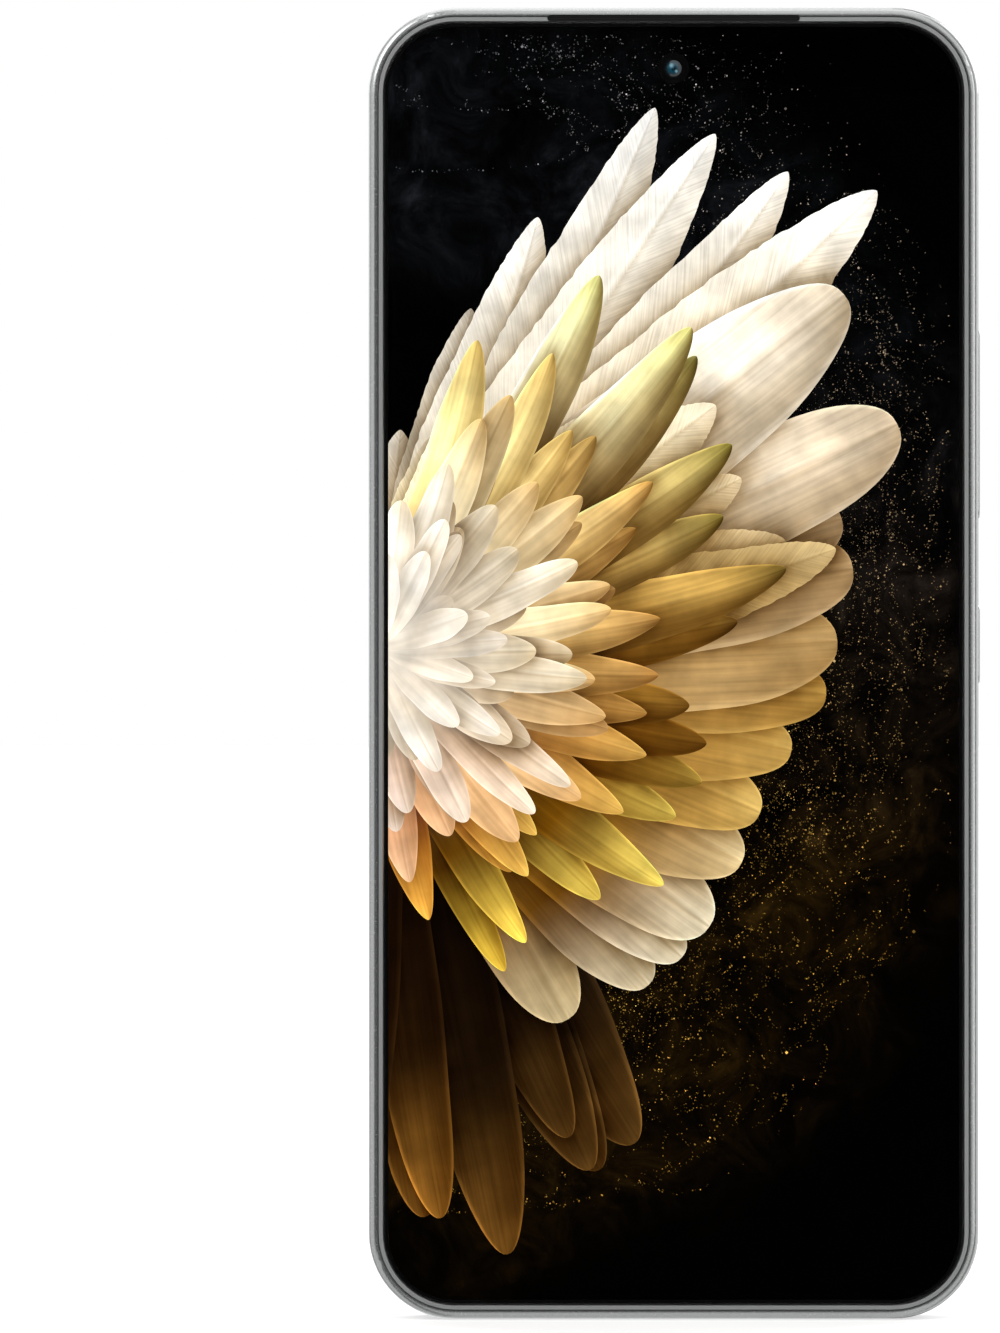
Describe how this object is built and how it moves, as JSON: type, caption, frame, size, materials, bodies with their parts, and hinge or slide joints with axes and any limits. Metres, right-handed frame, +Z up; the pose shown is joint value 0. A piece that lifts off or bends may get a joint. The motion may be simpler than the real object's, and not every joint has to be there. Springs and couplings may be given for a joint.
{
  "type": "smartphone",
  "caption": "Slab smartphone with a punched-hole front camera, a flat back with ringed round camera windows and a flash, side keys and a card tray.",
  "frame": {"origin": "middle of the flat bottom edge, halfway between screen and back", "axes": "+X to the right when facing the screen, +Y out of the back, +Z up towards the earpiece"},
  "size_m": [0.0773, 0.0096, 0.1656],
  "materials": {
    "silver_frame": "satin",
    "silver_back": "matte",
    "silver_trim": "satin",
    "silver_key": "satin",
    "chassis_alloy": "satin",
    "graphite": "matte",
    "black_moulding": "matte",
    "dark_plastic": "gloss",
    "screw_steel": "satin",
    "clear_glass": "gloss",
    "black_mesh": "matte",
    "display": "gloss",
    "backlight": "satin",
    "flex": "satin",
    "camera_black": "matte",
    "lens": "gloss",
    "camera_glass": "gloss",
    "ring_metal": "polished",
    "flash_plastic": "satin",
    "flash_phosphor": "matte",
    "board_laminate": "satin",
    "shield_steel": "satin",
    "port_steel": "satin",
    "battery_foil": "satin",
    "seal_rubber": "matte",
    "weight_metal": "satin"
  },
  "bodies": {
    "phone": {"side_frame": "silver_frame", "chassis_plate": "chassis_alloy", "back_cover": "silver_back", "graphite_sheet": "graphite", "upper_inner_cover": "black_moulding", "lower_inner_cover": "black_moulding", "chassis_screws": "screw_steel", "cover_glass": "clear_glass", "screen_trim_ring": "silver_trim", "earpiece_mesh": "black_mesh", "display_panel": "display", "display_backlight": "backlight", "display_flex_cable": "flex", "front_camera_module": "camera_black", "earpiece_speaker": "black_moulding", "proximity_light_sensor": "camera_black", "main_camera_housing": "camera_black", "wide_camera_module": "camera_black", "small_camera_module": "camera_black", "flash_lens": "flash_plastic", "flash_emitter": "flash_phosphor", "main_board": "board_laminate", "sub_board": "board_laminate", "processor_shield": "shield_steel", "radio_shield": "shield_steel", "power_shield": "shield_steel", "sim_card_reader": "shield_steel", "top_microphone": "shield_steel", "bottom_microphone": "shield_steel", "infrared_emitter": "camera_black", "infrared_window": "dark_plastic", "battery": "battery_foil", "battery_protection_board": "flex", "main_flex_cable": "flex", "antenna_lead": "black_moulding", "usb_port": "port_steel", "usb_seal": "seal_rubber", "audio_jack": "black_moulding", "audio_jack_seal": "seal_rubber", "loudspeaker_box": "black_moulding", "loudspeaker_mesh": "black_mesh", "vibration_motor": "port_steel", "side_key_bracket": "port_steel", "side_key_flex": "flex", "camera_ring_top": "ring_metal", "camera_glass_top": "camera_glass", "camera_ring_middle": "ring_metal", "camera_glass_middle": "camera_glass", "camera_ring_bottom": "ring_metal", "camera_glass_bottom": "camera_glass"},
    "power_key": {"power_key": "silver_key"},
    "volume_key": {"volume_key": "silver_key"},
    "sim_tray": {"sim_tray": "silver_key", "sim_tray_seal": "seal_rubber"},
    "focus_lens": {"main_camera_lens": "lens"},
    "vibration_weight": {"vibration_weight": "weight_metal"}
  },
  "joints": [
    {"name": "power_key_press", "type": "slide", "parent": "phone", "child": "power_key", "axis": [-1, 0, 0], "range_m": [0, 0.00025], "stiffness_N_per_m": 1000},
    {"name": "volume_key_rock", "type": "hinge", "parent": "phone", "child": "volume_key", "pos_m": [0.03765, 0, 0.1132], "axis": [0, 1, 0], "range_deg": [-1, 1], "stiffness_Nm_per_rad": 0.3},
    {"name": "sim_tray_slide", "type": "slide", "parent": "phone", "child": "sim_tray", "axis": [-1, 0, 0], "range_m": [0, 0.028]},
    {"name": "main_lens_focus", "type": "slide", "parent": "phone", "child": "focus_lens", "axis": [0, 1, 0], "range_m": [0, 0.00035], "stiffness_N_per_m": 200},
    {"name": "vibration_spin", "type": "hinge", "parent": "phone", "child": "vibration_weight", "pos_m": [-0.0285, 0.00045, 0.0195], "axis": [1, 0, 0], "continuous": true}
  ]
}
